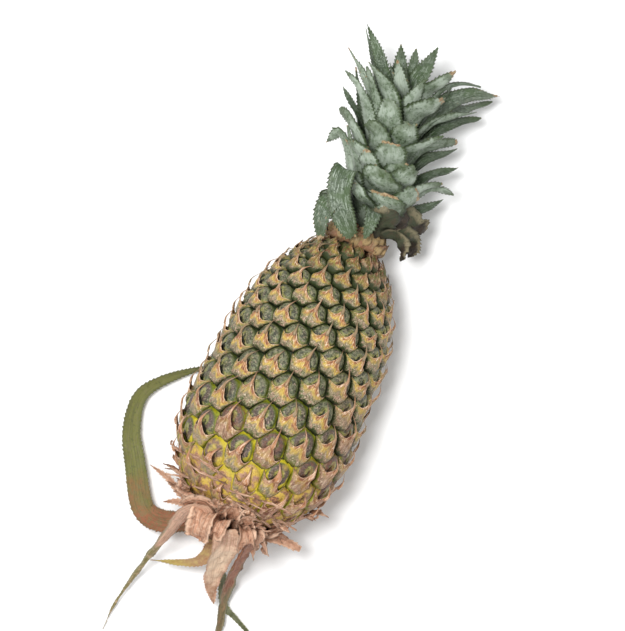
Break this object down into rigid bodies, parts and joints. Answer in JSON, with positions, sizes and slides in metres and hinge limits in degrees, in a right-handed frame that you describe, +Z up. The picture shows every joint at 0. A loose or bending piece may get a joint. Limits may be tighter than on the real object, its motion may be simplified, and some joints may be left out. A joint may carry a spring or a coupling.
{
  "type": "pineapple",
  "caption": "Small whole pineapple lying on its side: spiny-eyed fruit, crown of toothed grey-green leaves, cut stalk and long dry leaves round the base.",
  "frame": {"origin": "on the floor, in the middle of the flat patch under the fruit", "axes": "+Z up, +Y along the fruit from the stalk to the crown, +X to the right of that"},
  "size_m": [0.1321, 0.3877, 0.1002],
  "materials": {
    "fruit_skin": "waxy rind of raised eyes, yellow-tan faces and olive grooves",
    "crown_leaf": "grey-green leaf with a waxy bloom and dark specks",
    "stalk_bark": "dry brown stalk and papery scales",
    "olive_leaf": "half-dry olive leaf, satin, with fine ribs",
    "dry_leaf": "dry pink-brown leaf, matt, with fine ribs",
    "pale_leaf": "dry cream leaf base, matt"
  },
  "bodies": {
    "root": {"fruit": "fruit_skin", "crown": "crown_leaf", "stalk": "stalk_bark", "base_leaf_loop": "olive_leaf", "base_leaf_pink": "dry_leaf", "base_leaf_yellow": "olive_leaf", "base_leaf_cream": "pale_leaf", "base_leaf_brown": "dry_leaf", "base_leaf_thin": "olive_leaf"}
  },
  "joints": []
}
